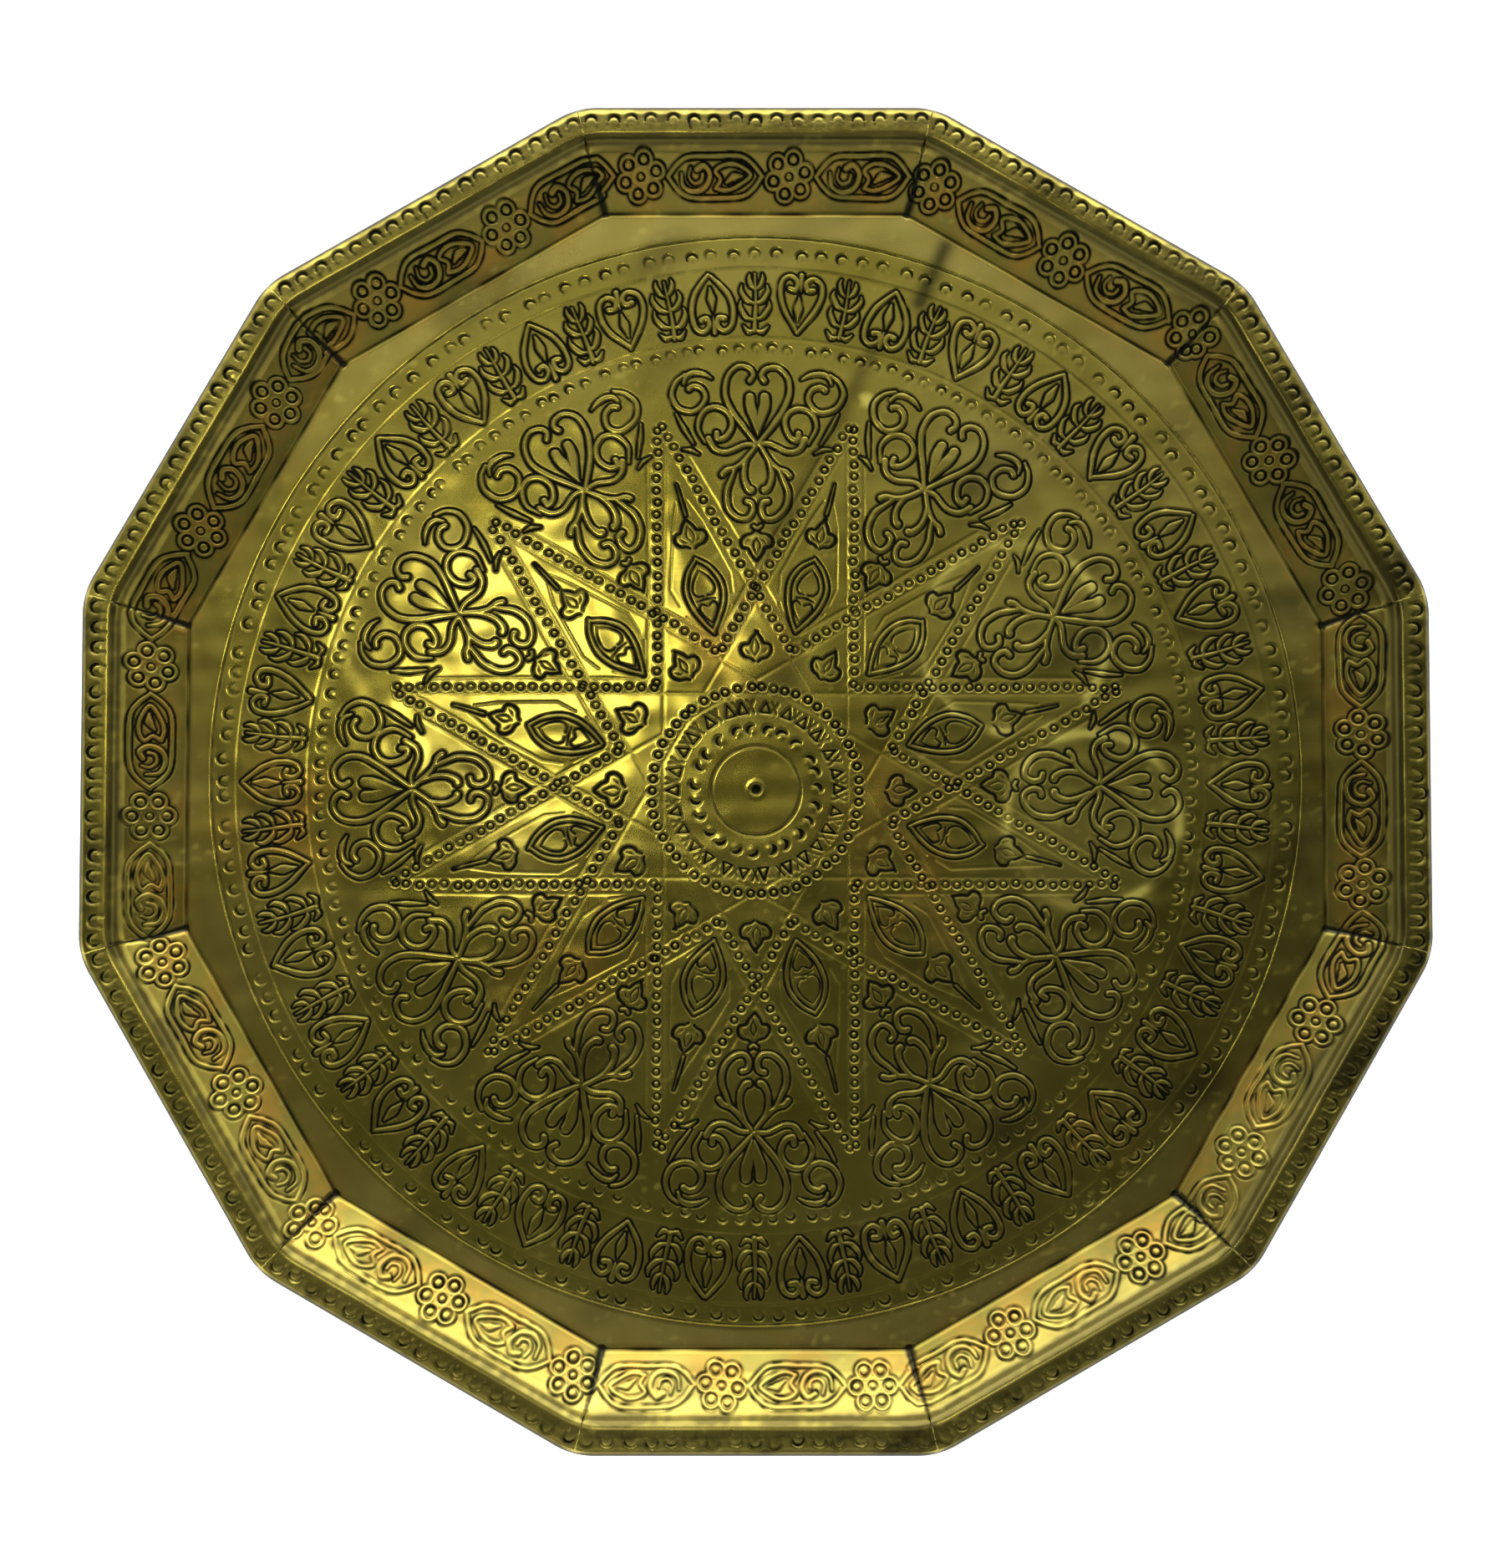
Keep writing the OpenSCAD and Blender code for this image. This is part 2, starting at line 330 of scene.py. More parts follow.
def bent_round(points, angle, radius):
    """Motif coordinates wrapped round a circle, centred on this angle, v outward."""
    p = np.asarray(points, float)
    a = angle - p[:, 0] / radius
    r = radius + p[:, 1]
    return np.column_stack([r * np.cos(a), r * np.sin(a)])


def on_wall(points, along):
    """Motif coordinates on the wall band: u along the rim from a place, v outward."""
    side = 2 * BAND * HALF_SIDE
    p = np.asarray(points, float)
    run = p[:, 0] + along
    k = np.round(run / side)
    angle = math.pi / 2 - k * SECTOR
    b = run - k * side
    a = BAND + p[:, 1]
    return np.column_stack([a * np.cos(angle) + b * np.sin(angle), a * np.sin(angle) - b * np.cos(angle)])


def engrave_star(c):
    """A fan between every two points of the star, and a kite in each point."""
    creases = ([(1.8, 128), (6.2, 117.5), (13.2, 92), (11.6, 84)], [(4.6, 72), (9.6, 79)])
    fan_size = 1.018
    for k in range(SIDES):
        fan_angle = k * SECTOR + math.radians(rng.normal(0, 0.35))
        kite_angle = fan_angle + SECTOR / 2
        for p, w in moved(fan(), size=fan_size):
            c.draw(around(wobble(p, 0.28), fan_angle), w * rng.uniform(0.94, 1.05))
        for p, w in kite():
            c.draw(around(wobble(p, 0.25), kite_angle), w)
        for side in (-1, 1):
            for edge in creases:
                crease = wobble(np.array(edge) * (side, 1), 0.5)
                c.line(around(crease, kite_angle), 0.5, 0.14 * rng.uniform(0.4, 1.1))


def engrave_palmettes(c):
    """The small palmettes round the centre, one towards each fan."""
    for k in range(SIDES):
        for p, w in moved(palmette(), v=62.0, size=0.95):
            c.draw(around(wobble(p, 0.25), k * SECTOR + math.radians(rng.normal(0, 0.3))), w)


def punch_star(c):
    """The star's twelve rows of ring punches, each between two faint guide lines."""
    for k in range(SIDES):
        angle = k * SECTOR
        for side in (-1, 1):
            t = STAR_D + 1.5
            while t < STAR_END:
                x, y = around([(side * t + rng.normal(0, 0.25), STAR_D + rng.normal(0, 0.3))], angle)[0]
                c.ring(x, y, 1.45, 0.5, rng.uniform(0.4, 0.7))
                t += rng.uniform(4.9, 5.7)
            outer = [(side * t, STAR_D + 4.3) for t in (50, 95, 140)]
            c.line(around(wobble(outer, 0.3), angle), 0.7, 0.08)
        inner = [(t, STAR_D - 2.9) for t in (-150, -75, 0, 75, 150)]
        c.line(around(wobble(inner, 0.25), angle), 0.75, 0.06)


def punch_centre(c):
    """Rings, hatched triangles and crescents round a plain disc with a centre mark."""
    rings, triangles, crescents = 54, 26, 23
    for i in range(rings):
        a = 2 * math.pi * i / rings + rng.normal(0, 0.008)
        r = CENTRE_RING_R + rng.normal(0, 0.25)
        c.ring(r * math.cos(a), r * math.sin(a), 1.5, 0.52, rng.uniform(0.55, 0.8))
    for i in range(triangles):
        a = 2 * math.pi * i / triangles + rng.normal(0, 0.02)
        h = rng.uniform(2.2, 2.9)
        depth = rng.uniform(0.45, 0.75)
        triangle = np.array([(-2.3, -h), (0, h), (2.3, -h), (-2.3, -h)])
        c.line(bent_round(triangle, a, HATCH_R), 0.5, depth)
        hatch = np.array([(2.6, -h), (5.0, h)])
        for flip in (1, -1):
            c.line(bent_round(hatch * (1, flip), a, HATCH_R), 0.42, 0.5 * depth)
    for i in range(crescents):
        a = 2 * math.pi * i / crescents + rng.normal(0, 0.03)
        c.crescent(CENTRE_ARCS_R * math.cos(a), CENTRE_ARCS_R * math.sin(a), a + 0.9 + rng.normal(0, 0.25),
                   2.3, 0.9, rng.uniform(0.6, 0.9), 1.6)
    c.line(circle(DISC_R, 73), 0.45, 0.3)
    c.ring(0, 0.6, 0.2, 1.5, 1.3)


def punch_circles(c):
    """The rows of arches on both sides of the frieze, and the circles that guided them."""
    rows = ((OUTER_ARCS_R, OUTER_ARCS_SLIP, 152, 2.3, 0.5),
            (INNER_ARCS_R, INNER_ARCS_SLIP, 156, 1.9, 0.45))
    for radius, slip, count, size, depth in rows:
        c.slip = slip
        for i in range(count):
            a = 2 * math.pi * i / count + rng.normal(0, 0.005)
            r = radius - 1 + rng.normal(0, 0.4)
            c.arch(r * math.cos(a), r * math.sin(a), a + 0.2 + rng.normal(0, 0.2),
                   size, 0.9, 0.62, depth * rng.uniform(0.5, 1.25))
    circles = ((ENGRAVED_R, 0.0, 0.42, 0.3),
               (FRIEZE_R + 15.2, FRIEZE_SLIP, 0.6, 0.08),
               (FRIEZE_R - 15.6, FRIEZE_SLIP, 0.6, 0.05))
    for radius, slip, width, depth in circles:
        c.slip = slip
        c.line(circle(radius, 181), width, depth)


def engrave_frieze(c):
    """Hearts and ferns by turns, every other heart upside down."""
    places = 68
    motifs = (frieze_heart(), frieze_fern())
    for k in range(places):
        angle = 2 * math.pi * k / places + rng.normal(0, 0.003)
        flip = -1 if k % 4 == 2 else 1
        for p, w in motifs[k % 2]:
            p = wobble(np.asarray(p) * (0.99, 1.02 * flip), 0.3)
            c.draw(bent_round(p, angle, FRIEZE_R), w * rng.uniform(0.9, 1.08))


def engrave_wall(c):
    """A rosette of seven ring punches and a cartouche by turns, right round the wall."""
    units = 26
    pitch = 2 * BAND * HALF_SIDE * SIDES / units
    first = 14.6
    petal_r = 7.0
    for k in range(units):
        along = first + k * pitch
        turn = rng.uniform(0, math.pi / 3)
        spokes = [turn + i * math.pi / 3 for i in range(6)]
        petals = [(petal_r * math.cos(t), petal_r * math.sin(t)) for t in spokes]
        for x, y in on_wall(petals, along):
            c.disc(x, y, 3.95)
            c.ring(x, y, 2.1, 0.62, 0.75)
        x, y = on_wall([(0, 0)], along)[0]
        c.disc(x, y, 4.2)
        c.ring(x, y, 1.6, 0.5, 0.55)
        for p, w in cartouche():
            c.draw(on_wall(wobble(p, 0.2), along + pitch / 2), w)


def punch_lip(c):
    """A row of tall arches along each side of the lip."""
    radius = LIP - 6.6
    side = 2 * radius * HALF_SIDE
    per_side = 17
    for k in range(SIDES):
        angle = math.pi / 2 - k * SECTOR
        for i in range(per_side):
            b = (i + 0.5) / per_side * side - side / 2 + rng.normal(0, 0.45)
            x, y = around([(b, radius + rng.normal(0, 0.4))], angle)[0]
            facing = angle + rng.normal(0, 0.16)
            c.arch(x, y, facing, 2.5, rng.uniform(1.8, 3.2), 0.76, rng.uniform(0.5, 1.0))


def cut_seams(c):
    """The soldered slits where the wall turns each corner."""
    foot = FLOOR / math.cos(SECTOR / 2)
    top = WALL_TOP / math.cos(SECTOR / 2) + 3
    foot_width, foot_depth = 1.5, 1.1
    for k in range(SIDES):
        angle = (k + 0.5) * SECTOR
        path = wobble([(0, r) for r in np.linspace(foot, top, 9)], 0.35)
        for i, (p, q) in enumerate(zip(path[:-1], path[1:])):
            c.line(around([p, q], angle), foot_width - 0.13 * i, foot_depth - 0.09 * i)


def groove_of(c):
    """1 along the chased outline of every ribbon, falling to 0 on both sides."""
    return np.exp(-((c.ribbon - 0.48) / 0.46) ** 2)


def ink_of(c):
    """How dark the old polish and dirt lie in the chased lines and punch marks."""
    line = np.exp(-((c.ribbon - 0.52) / 0.62) ** 2)
    return np.clip(1.9 * line + c.dent / 0.28, 0, 1.9)


def height_of(c):
    """Height of the worked sheet over the plain one, in millimetres."""
    rise = 0.28 * np.clip(0.5 - c.ribbon, 0, 1) ** 0.8
    return rise - 0.26 * groove_of(c) - c.dent + c.swell


def box_blur(field, cells):
    """Three box means in each direction, close to a Gaussian blur."""
    out = field
    for axis in (0, 1):
        for _ in range(3):
            pad = [(cells + 1, cells) if i == axis else (0, 0) for i in (0, 1)]
            total = np.cumsum(np.pad(out, pad, mode="edge"), axis=axis, dtype=np.float64)
            n = 2 * cells + 1
            run = np.take(total, range(n, total.shape[axis]), axis)
            out = ((run - np.take(total, range(total.shape[axis] - n), axis)) / n).astype(np.float32)
    return out


def sampled(c, field, x, y):
    """A field of the canvas at points, between cells."""
    i = np.clip((x + c.half) / c.cell, 0, len(c.axis) - 2)
    j = np.clip((y + c.half) / c.cell, 0, len(c.axis) - 2)
    i0, j0 = i.astype(int), j.astype(int)
    fi, fj = i - i0, j - j0
    top = field[j0, i0] * (1 - fi) + field[j0, i0 + 1] * fi
    bottom = field[j0 + 1, i0] * (1 - fi) + field[j0 + 1, i0 + 1] * fi
    return top * (1 - fj) + bottom * fj


# ---- the tray's mesh

def profile_height(a):
    """Height of the plain sheet at an apothem, with its bends rounded."""
    fine = np.arange(0, LIP + 4, 0.1)
    raw = np.interp(fine, *zip(*PROFILE))
    beyond = fine > LIP
    raw[beyond] = PROFILE[-1][1] - (fine[beyond] - LIP) * 1.4
    window = 13
    soft = np.convolve(np.pad(raw, window // 2, mode="edge"), np.ones(window) / window, "valid")
    return np.interp(a, fine, soft)


def sector_rows(spacing, columns):
    """Rows of the mesh from the rim in: apothem and number of cells along one side."""
    rows, a, n = [], LIP, columns
    while a > 3 * spacing:
        rows.append((a, n))
        a -= spacing
        if a < LIP * n / columns / 2 + 2 and n > 8:
            n //= 2
    return rows


def sides_xy(a, b, k):
    """Plan of a point at apothem a and b along side k, with the lip's corners rounded."""
    corner_run, corner_r = 9.0, 32.0
    to_corner = a * HALF_SIDE - np.abs(b)
    cut = np.clip(corner_run - to_corner, 0, None) ** 2 / (2 * corner_r)
    a = a - cut * np.clip((a - 268) / 8, 0, 1)
    angle = math.pi / 2 - k * SECTOR
    return a * np.cos(angle) + b * np.sin(angle), a * np.sin(angle) - b * np.cos(angle)


def ring_of(a, n):
    """Points of one closed row round all twelve sides."""
    t = np.arange(n * SIDES)
    k = t // n
    b = ((t % n) / n * 2 - 1) * a * HALF_SIDE
    return sides_xy(np.full(len(t), a), b, k)


def halving(above, below):
    """Triangles between a row and the next one in, which has half as many points."""
    odd, even, after_even = above[1::2], above[0::2], np.roll(above, -2)[0::2]
    after = np.roll(below, -1)
    return [np.column_stack([even, odd, below]), np.column_stack([odd, after, below]),
            np.column_stack([odd, after_even, after])]


def upper_face(spacing, columns):
    """Points, quads and triangles of the plain upper face, its rim row first and its centre last."""
    points, quads, tris = [], [], []
    start = 0
    above, above_n = None, columns
    for a, n in sector_rows(spacing, columns):
        ids = start + np.arange(n * SIDES)
        points.append((*ring_of(a, n), np.full(n * SIDES, profile_height(a))))
        if above is not None and above_n == n:
            quads.append(np.column_stack([above, np.roll(above, -1), np.roll(ids, -1), ids]))
        elif above is not None:
            tris += halving(above, ids)
        above, above_n = ids, n
        start += n * SIDES
    points.append((np.zeros(1), np.zeros(1), np.full(1, SHEET)))
    tris.append(np.column_stack([above, np.roll(above, -1), np.full(len(above), start)]))
    return [np.concatenate(part) for part in zip(*points)], quads, tris


def lower_face(start, columns):
    """The same for the underside, which hangs from the rim row and numbers its points from start."""
    points, quads = [], []
    above = np.arange(columns * SIDES)
    apothems = [LIP - 0.35, LIP - 0.9] + [a for a, _ in PROFILE[-2:0:-1]] + [200.0, 120.0, 40.0]
    drops = [0.75] + [SHEET] * (len(apothems) - 1)
    for a, drop in zip(apothems, drops):
        ids = start + np.arange(columns * SIDES)
        points.append((*ring_of(a, columns), np.full(columns * SIDES, profile_height(a) - drop)))
        quads.append(np.column_stack([np.roll(above, -1), above, ids, np.roll(ids, -1)]))
        above, start = ids, start + columns * SIDES
    points.append((np.zeros(1), np.zeros(1), np.zeros(1)))
    tris = [np.column_stack([np.roll(above, -1), above, np.full(len(above), start)])]
    return [np.concatenate(part) for part in zip(*points)], quads, tris


def fill_mesh(name, co, quads, tris):
    """A mesh from arrays of vertices, quads and triangles."""
    me = bpy.data.meshes.new(name)
    me.vertices.add(len(co))
    me.vertices.foreach_set("co", np.asarray(co, np.float32).ravel())
    me.loops.add(quads.size + tris.size)
    me.loops.foreach_set("vertex_index", np.concatenate([quads.ravel(), tris.ravel()]).astype(np.int32))
    me.polygons.add(len(quads) + len(tris))
    starts = np.concatenate([np.arange(0, quads.size, 4), quads.size + np.arange(0, tris.size, 3)])
    me.polygons.foreach_set("loop_start", starts.astype(np.int32))
    me.update(calc_edges=True)
    me.validate()
    me.polygons.foreach_set("use_smooth", np.ones(len(me.polygons), bool))
    return me


def attribute(me, name, values):
    layer = me.attributes.new(name, "FLOAT", "POINT")
    layer.data.foreach_set("value", np.asarray(values, np.float32))


# ---- wear, stains, painted shade and painted sheen on the tray

def soft_noise(x, y, size, seed):
    """Smooth noise over the plan, about -1 to 1, with lumps of the given size."""
    local = np.random.default_rng(seed)
    total = np.zeros(len(x))
    for _ in range(9):
        a = local.uniform(0, 2 * math.pi)
        f = 2 * math.pi / size * local.uniform(0.6, 1.5)
        total += np.sin((x * math.cos(a) + y * math.sin(a)) * f + local.uniform(0, 2 * math.pi))
    return total / 4.0


def near(x, y, cx, cy, radius, softness):
    """1 inside a round spot, falling to 0 over the softness."""
    return np.clip((radius + softness - np.hypot(x - cx, y - cy)) / softness, 0, 1)


def near_line(x, y, ax, ay, bx, by, width):
    """1 along a straight line, falling to 0 on both sides."""
    dx, dy = bx - ax, by - ay
    t = np.clip(((x - ax) * dx + (y - ay) * dy) / (dx * dx + dy * dy), 0, 1)
    return np.exp(-((x - ax - t * dx) ** 2 + (y - ay - t * dy) ** 2) / width ** 2)


def ridge(a, middle, width):
    """1 at an apothem, falling to 0 on both sides."""
    return np.exp(-((a - middle) / width) ** 2)


def copper_blush_and_reflection(x, y, a, rough, fine):
    """Where the brass has reddened: a spot at the left and patches on the floor. Low on the wall the
    reddening is partly copper and partly a painted reflection of warm brown surroundings.
    """
    spots = ((-12, 62, 26), (68, -60, 26), (60, -18, 30), (-80, -80, 34), (150, -150, 20))
    blush_and_reflection = 0.9 * near(x, y, -205, -18, 8, 30) * np.clip(0.6 + rough, 0, 1)
    # low on the wall: partly copper, partly a painted reflection of warm brown surroundings
    blush_and_reflection += 0.85 * ridge(a, 256, 11) * np.clip(rough + 0.45 + 0.4 * fine, 0, 1)
    for cx, cy, r in spots:
        blush_and_reflection += 0.55 * near(x, y, cx, cy, r * 0.3, r) * np.clip(0.5 + 0.7 * rough + 0.3 * fine, 0, 1)
    return blush_and_reflection


def tarnish_and_painted_shade(x, y, a, rough, fine):
    """A run of dried liquid and blotches, which are tarnish; then painted shade: the right side darker, the
    lip darker towards the top with mottling, and a dark band in the steep curve under the lip.
    """
    on_lip = np.clip((a - 279) / 3, 0, 1)
    dark = 0.95 * near_line(x, y, 83, 232, 72, 208, 4) + 0.5 * near_line(x, y, 52, 188, -14, 60, 3.2)
    dark += 0.35 * near_line(x, y, 72, 208, 46, 166, 3) * np.clip(0.4 + rough, 0, 1)
    dark += 0.5 * np.clip(soft_noise(x, y, 60, 9) - 0.45, 0, 1)
    # on the lip: partly mottled tarnish, partly painted shade that grows towards the top
    dark += on_lip * np.clip(0.05 + 0.3 * np.clip(y / 250, 0, 1) + 0.35 * rough + 0.3 * fine, 0, 0.6)
    # painted shade: the right side of the tray darker
    dark += 0.42 * np.clip((x - 0.35 * y + 10) / 280, 0, 1)
    # painted shade: a dark band in the steep curve under the lip, a little darker towards the top and
    # mottled
    bend = np.clip(1 + 0.15 * y / 250 + 0.2 * rough + 0.15 * fine, 0.5, 1.2)
    return dark + bend * ridge(a, 274.9, 3.3)


def pale_marks(x, y, rough, fine):
    """Two rings left by wet glasses, one drop, and faint specks."""
    pale = np.zeros(len(x))
    for cx, cy, r in ((111.8, 60.4, 41.4), (146, -18.7, 37.8)):
        d = np.hypot(x - cx, y - cy)
        broken = np.clip(0.5 + 0.8 * soft_noise(x, y, 24, int(r)), 0.1, 1)
        pale += ridge(d, r, 2.4) * broken + 0.16 * (d < r)
    pale += 0.9 * near(x, y, 48.8 + fine, 165 + rough, 1.6, 2.6)
    return pale + 0.3 * np.clip(soft_noise(x, y, 40, 21) * fine - 0.3, 0, 1)


def wear_fields(x, y, a, ink, raised, seam):
    """Every field that the brass reads, each from 0 up, at points of the upper face.
    ink and seam are the dirt in the marks and the depth of the slits; raised is above 0 on reliefs."""
    rough = soft_noise(x, y, 26, 3)
    fine = soft_noise(x, y, 7, 5)
    on_wall_band = np.clip((a - FLOOR) / 4, 0, 1)
    # painted sheen: on the wall, the ink in the lines is lessened towards the front, where the wall catches
    # the light
    front_sheen = np.clip(-y / 250, 0, 1)
    grime = np.clip(0.86 + 0.18 * soft_noise(x, y, 90, 41) + 0.26 * soft_noise(x, y, 7, 43), 0.2, 1.2)
    recess_and_rim_shade = np.clip(ink * (grime - on_wall_band * (0.12 + 0.42 * front_sheen)), 0, 1)
    # painted shade: the outer edge of the lip is darkened nearly to black, and joins the ink of the lines
    # below
    rim = 0.9 * np.clip((a - LIP + 2.6) / 1.6, 0, 1)
    foot_line = ridge(a, FLOOR, 1.2) * np.clip(0.8 + 0.3 * soft_noise(x, y, 30, 47), 0.5, 1)

    ring_wear_and_sheen = np.clip((np.hypot(x, y) - ENGRAVED_R - 1) / 2, 0, 1) * np.clip((FLOOR - 0.5 - a) / 2, 0, 1)
    # the plain ring's polish is real wear; it is made stronger towards the top and bottom and weak at the
    # sides as painted sheen
    ring_wear_and_sheen *= 0.15 + 0.85 * np.clip((np.abs(y) - 110) / 130, 0, 1)
    wear_and_sheen = np.clip(raised, 0, 0.5) + ring_wear_and_sheen * (1.4 + 0.4 * soft_noise(x, y, 34, 53))
    # painted sheen: the wall is made lighter towards the top and bottom
    wear_and_sheen += 0.6 * on_wall_band * np.clip(np.abs(y) / 250 - 0.1, 0, 1)
    return {"recess_and_rim_shade": np.maximum(recess_and_rim_shade, np.maximum(foot_line, rim)),
            "wear_and_sheen": wear_and_sheen,
            "blush_and_reflection": np.clip(copper_blush_and_reflection(x, y, a, rough, fine), 0, 1),
            "tarnish_and_shade": np.clip(tarnish_and_painted_shade(x, y, a, rough, fine), 0, 1),
            "pale": np.clip(pale_marks(x, y, rough, fine), 0, 1),
            "solder": np.clip(seam * 1.8, 0, 1),
            "satin": ring_wear_and_sheen + 0.5 * on_wall_band * np.clip((283 - a) / 4, 0, 1)}


# ---- node helpers

class Nodes:
    """A short way to write the node tree of a material or world."""

    def __init__(self, owner):
        self.owner = owner
        owner.use_nodes = True
        self.tree = owner.node_tree

    def feed(self, node, inputs):
        """Links each input of a node to a socket, or sets it to a value."""
        for key, value in inputs.items():
            if isinstance(value, bpy.types.NodeSocket):
                self.tree.links.new(value, node.inputs[key])
            else:
                node.inputs[key].default_value = value

    def shader(self, inputs):
        self.feed(self.tree.nodes["Principled BSDF"], inputs)
        return self.owner

    def add(self, kind, output, inputs, **settings):
        """A new node, fed; gives back one of its outputs."""
        n = self.tree.nodes.new(kind)
        for key, value in settings.items():
            setattr(n, key, value)
        self.feed(n, inputs)
        return n.outputs[output]

    def attribute(self, name):
        return self.add("ShaderNodeAttribute", "Fac", {}, attribute_name=name)

    def math(self, operation, *values, clamp=False):
        inputs = dict(enumerate(values))
        return self.add("ShaderNodeMath", 0, inputs, operation=operation, use_clamp=clamp)

    def mix(self, factor, a, b):
        return self.add("ShaderNodeMix", "Result", {"Factor": factor, "A": a, "B": b}, data_type="RGBA")

    def mapping(self, vector, scale, **more):
        return self.add("ShaderNodeMapping", "Vector", {"Vector": vector, "Scale": scale, **more})

    def place(self, scale=(1, 1, 1), turn=0.0):
        """Object coordinates, scaled and turned about Z."""
        where = self.add("ShaderNodeTexCoord", "Object", {})
        return self.mapping(where, scale, Rotation=(0, 0, turn))

    def noise(self, vector, scale, detail=4.0, roughness=0.55, distortion=0.0):
        inputs = {"Vector": vector, "Scale": scale, "Detail": detail, "Roughness": roughness,
                  "Distortion": distortion}
        return self.add("ShaderNodeTexNoise", "Fac", inputs)

    def ramp(self, fac, *stops):
        n = self.tree.nodes.new("ShaderNodeValToRGB")
        self.feed(n, {"Fac": fac})
        elements = n.color_ramp.elements
        while len(elements) < len(stops):
            elements.new(0.5)
        for element, (at, colour) in zip(elements, stops):
            element.position = at
            element.color = (*colour, 1) if isinstance(colour, tuple) else (colour, colour, colour, 1)
        return n.outputs["Color"]

    def bump(self, height, distance, strength=1.0):
        return self.add("ShaderNodeBump", "Normal",
                        {"Height": height, "Distance": distance, "Strength": strength})


def tray_material():
    """Old brass: olive and gold, nearly black in the chased lines, brighter where rubbing has polished it;
    the wear fields also lay painted shade and painted sheen into its colour.
    """
    m = Nodes(bpy.data.materials.new("tray_brass"))
    at = m.place()
    recess_and_rim_shade = m.attribute("recess_and_rim_shade")
    wear_and_sheen = m.attribute("wear_and_sheen")
    blush_and_reflection = m.attribute("blush_and_reflection")
    dark = m.attribute("tarnish_and_shade")
    pale = m.attribute("pale")
    solder = m.attribute("solder")
    satin = m.attribute("satin")
    cloud = m.noise(at, 14, 6, 0.6, 0.4)
    grain = m.noise(at, 160, 5, 0.65)
    speck = m.noise(at, 900, 3, 0.6)
    base = m.ramp(cloud, (0.3, (0.36, 0.30, 0.038)), (0.52, (0.47, 0.395, 0.062)),
                  (0.74, (0.60, 0.50, 0.10)))
    base = m.mix(m.math("MULTIPLY", grain, 0.35), base, (0.36, 0.285, 0.04, 1))
    # the first two colours also carry painted sheen and a painted reflection; the fourth and fifth also
    # carry painted shade
    for field, share, colour in ((wear_and_sheen, 0.3, (0.78, 0.645, 0.17, 1)), (blush_and_reflection, 0.7, (0.78, 0.42, 0.06, 1)),
                                 (pale, 0.8, (0.80, 0.70, 0.13, 1)), (dark, 0.88, (0.07, 0.06, 0.02, 1)),
                                 (recess_and_rim_shade, 1.0, (0.012, 0.012, 0.006, 1)),
                                 (solder, 0.95, (0.016, 0.018, 0.012, 1))):
        base = m.mix(m.math("MULTIPLY", field, share, clamp=True), base, colour)
    metal = m.math("MULTIPLY_ADD", pale, -0.15, 1.0)
    rough = m.math("MULTIPLY_ADD", cloud, 0.12, 0.06)
    for field, share in ((grain, 0.06), (satin, 0.14), (recess_and_rim_shade, 0.4)):
        rough = m.math("ADD", rough, m.math("MULTIPLY", field, share))
    rough = m.math("ADD", rough, m.math("MULTIPLY", pale, 0.08), clamp=True)
    scratch = m.noise(m.place((1, 24, 1), 0.5), 30, 2, 0.5)
    height = m.math("ADD", m.math("MULTIPLY", speck, 0.012), m.math("MULTIPLY", scratch, 0.08))
    height = m.math("ADD", height, m.math("MULTIPLY", grain, 0.045))
    return m.shader({"Base Color": base, "Metallic": metal, "Roughness": rough,
                     "Normal": m.bump(height, 0.00006)})


def engrave(c):
    """All the chased and punched work of the tray."""
    c.slip = STAR_SLIP
    engrave_star(c)
    punch_star(c)
    c.slip = CENTRE_SLIP
    engrave_palmettes(c)
    punch_centre(c)
    punch_circles(c)
    c.slip = FRIEZE_SLIP
    engrave_frieze(c)
    c.slip = 0.0
    engrave_wall(c)
    punch_lip(c)


def apothem_of(x, y):
    """Distance from the centre, measured square to the nearest side."""
    toward = np.round((np.arctan2(y, x) - math.pi / 2) / SECTOR) * SECTOR + math.pi / 2
    return x * np.cos(toward) + y * np.sin(toward)


def make_tray():
    spacing, columns, cell = ((0.46, 320, 0.2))
    c = Canvas(cell)
    engrave(c)
    worked = height_of(c)
    ink = ink_of(c)
    puffed = box_blur((c.ribbon < 1.2).astype(np.float32), int(3.2 / cell))
    hollow = box_blur(worked, int(1.2 / cell)) - worked
    c.dent[:] = 0
    cut_seams(c)
    height = worked - c.dent + 0.22 * puffed

    (x, y, plain), quads, tris = upper_face(spacing, columns)
    (low_x, low_y, low_z), low_quads, low_tris = lower_face(len(x), columns)
    a = apothem_of(x, y)
    beaten = 0.11 * soft_noise(x, y, 46, 31) + 0.045 * soft_noise(x, y, 17, 33)
    z = plain + sampled(c, height, x, y)
    z += beaten * np.clip((LIP - 2 - a) / 10, 0, 1)
    z -= 0.6 * ridge(a, FLOOR, 0.8)
    deepest = 0.95                         # less than the sheet is thick
    z = np.maximum(z, plain - deepest)

    co = np.column_stack([np.append(x, low_x), np.append(y, low_y), np.append(z, low_z) + TRAY_Z]) * MM
    me = fill_mesh("tray_sheet", co, np.vstack(quads + low_quads), np.vstack(tris + low_tris))
    wear = wear_fields(x, y, a, sampled(c, ink, x, y), -sampled(c, hollow, x, y), sampled(c, c.dent, x, y))
    # painted shade: the underside is darkened with the tarnish colour; the satin value only roughens it
    underside = {"tarnish_and_shade": 0.45, "satin": 1.5}
    for name, values in wear.items():
        attribute(me, name, np.append(values, np.full(len(low_x), underside.get(name, 0.0))))
    tray = bpy.data.objects.new("tray_sheet", me)
    bpy.context.collection.objects.link(tray)
    me.materials.append(tray_material())
    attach(tray, "tray")
    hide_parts("tray")


make_tray()

# ---- the folding stand

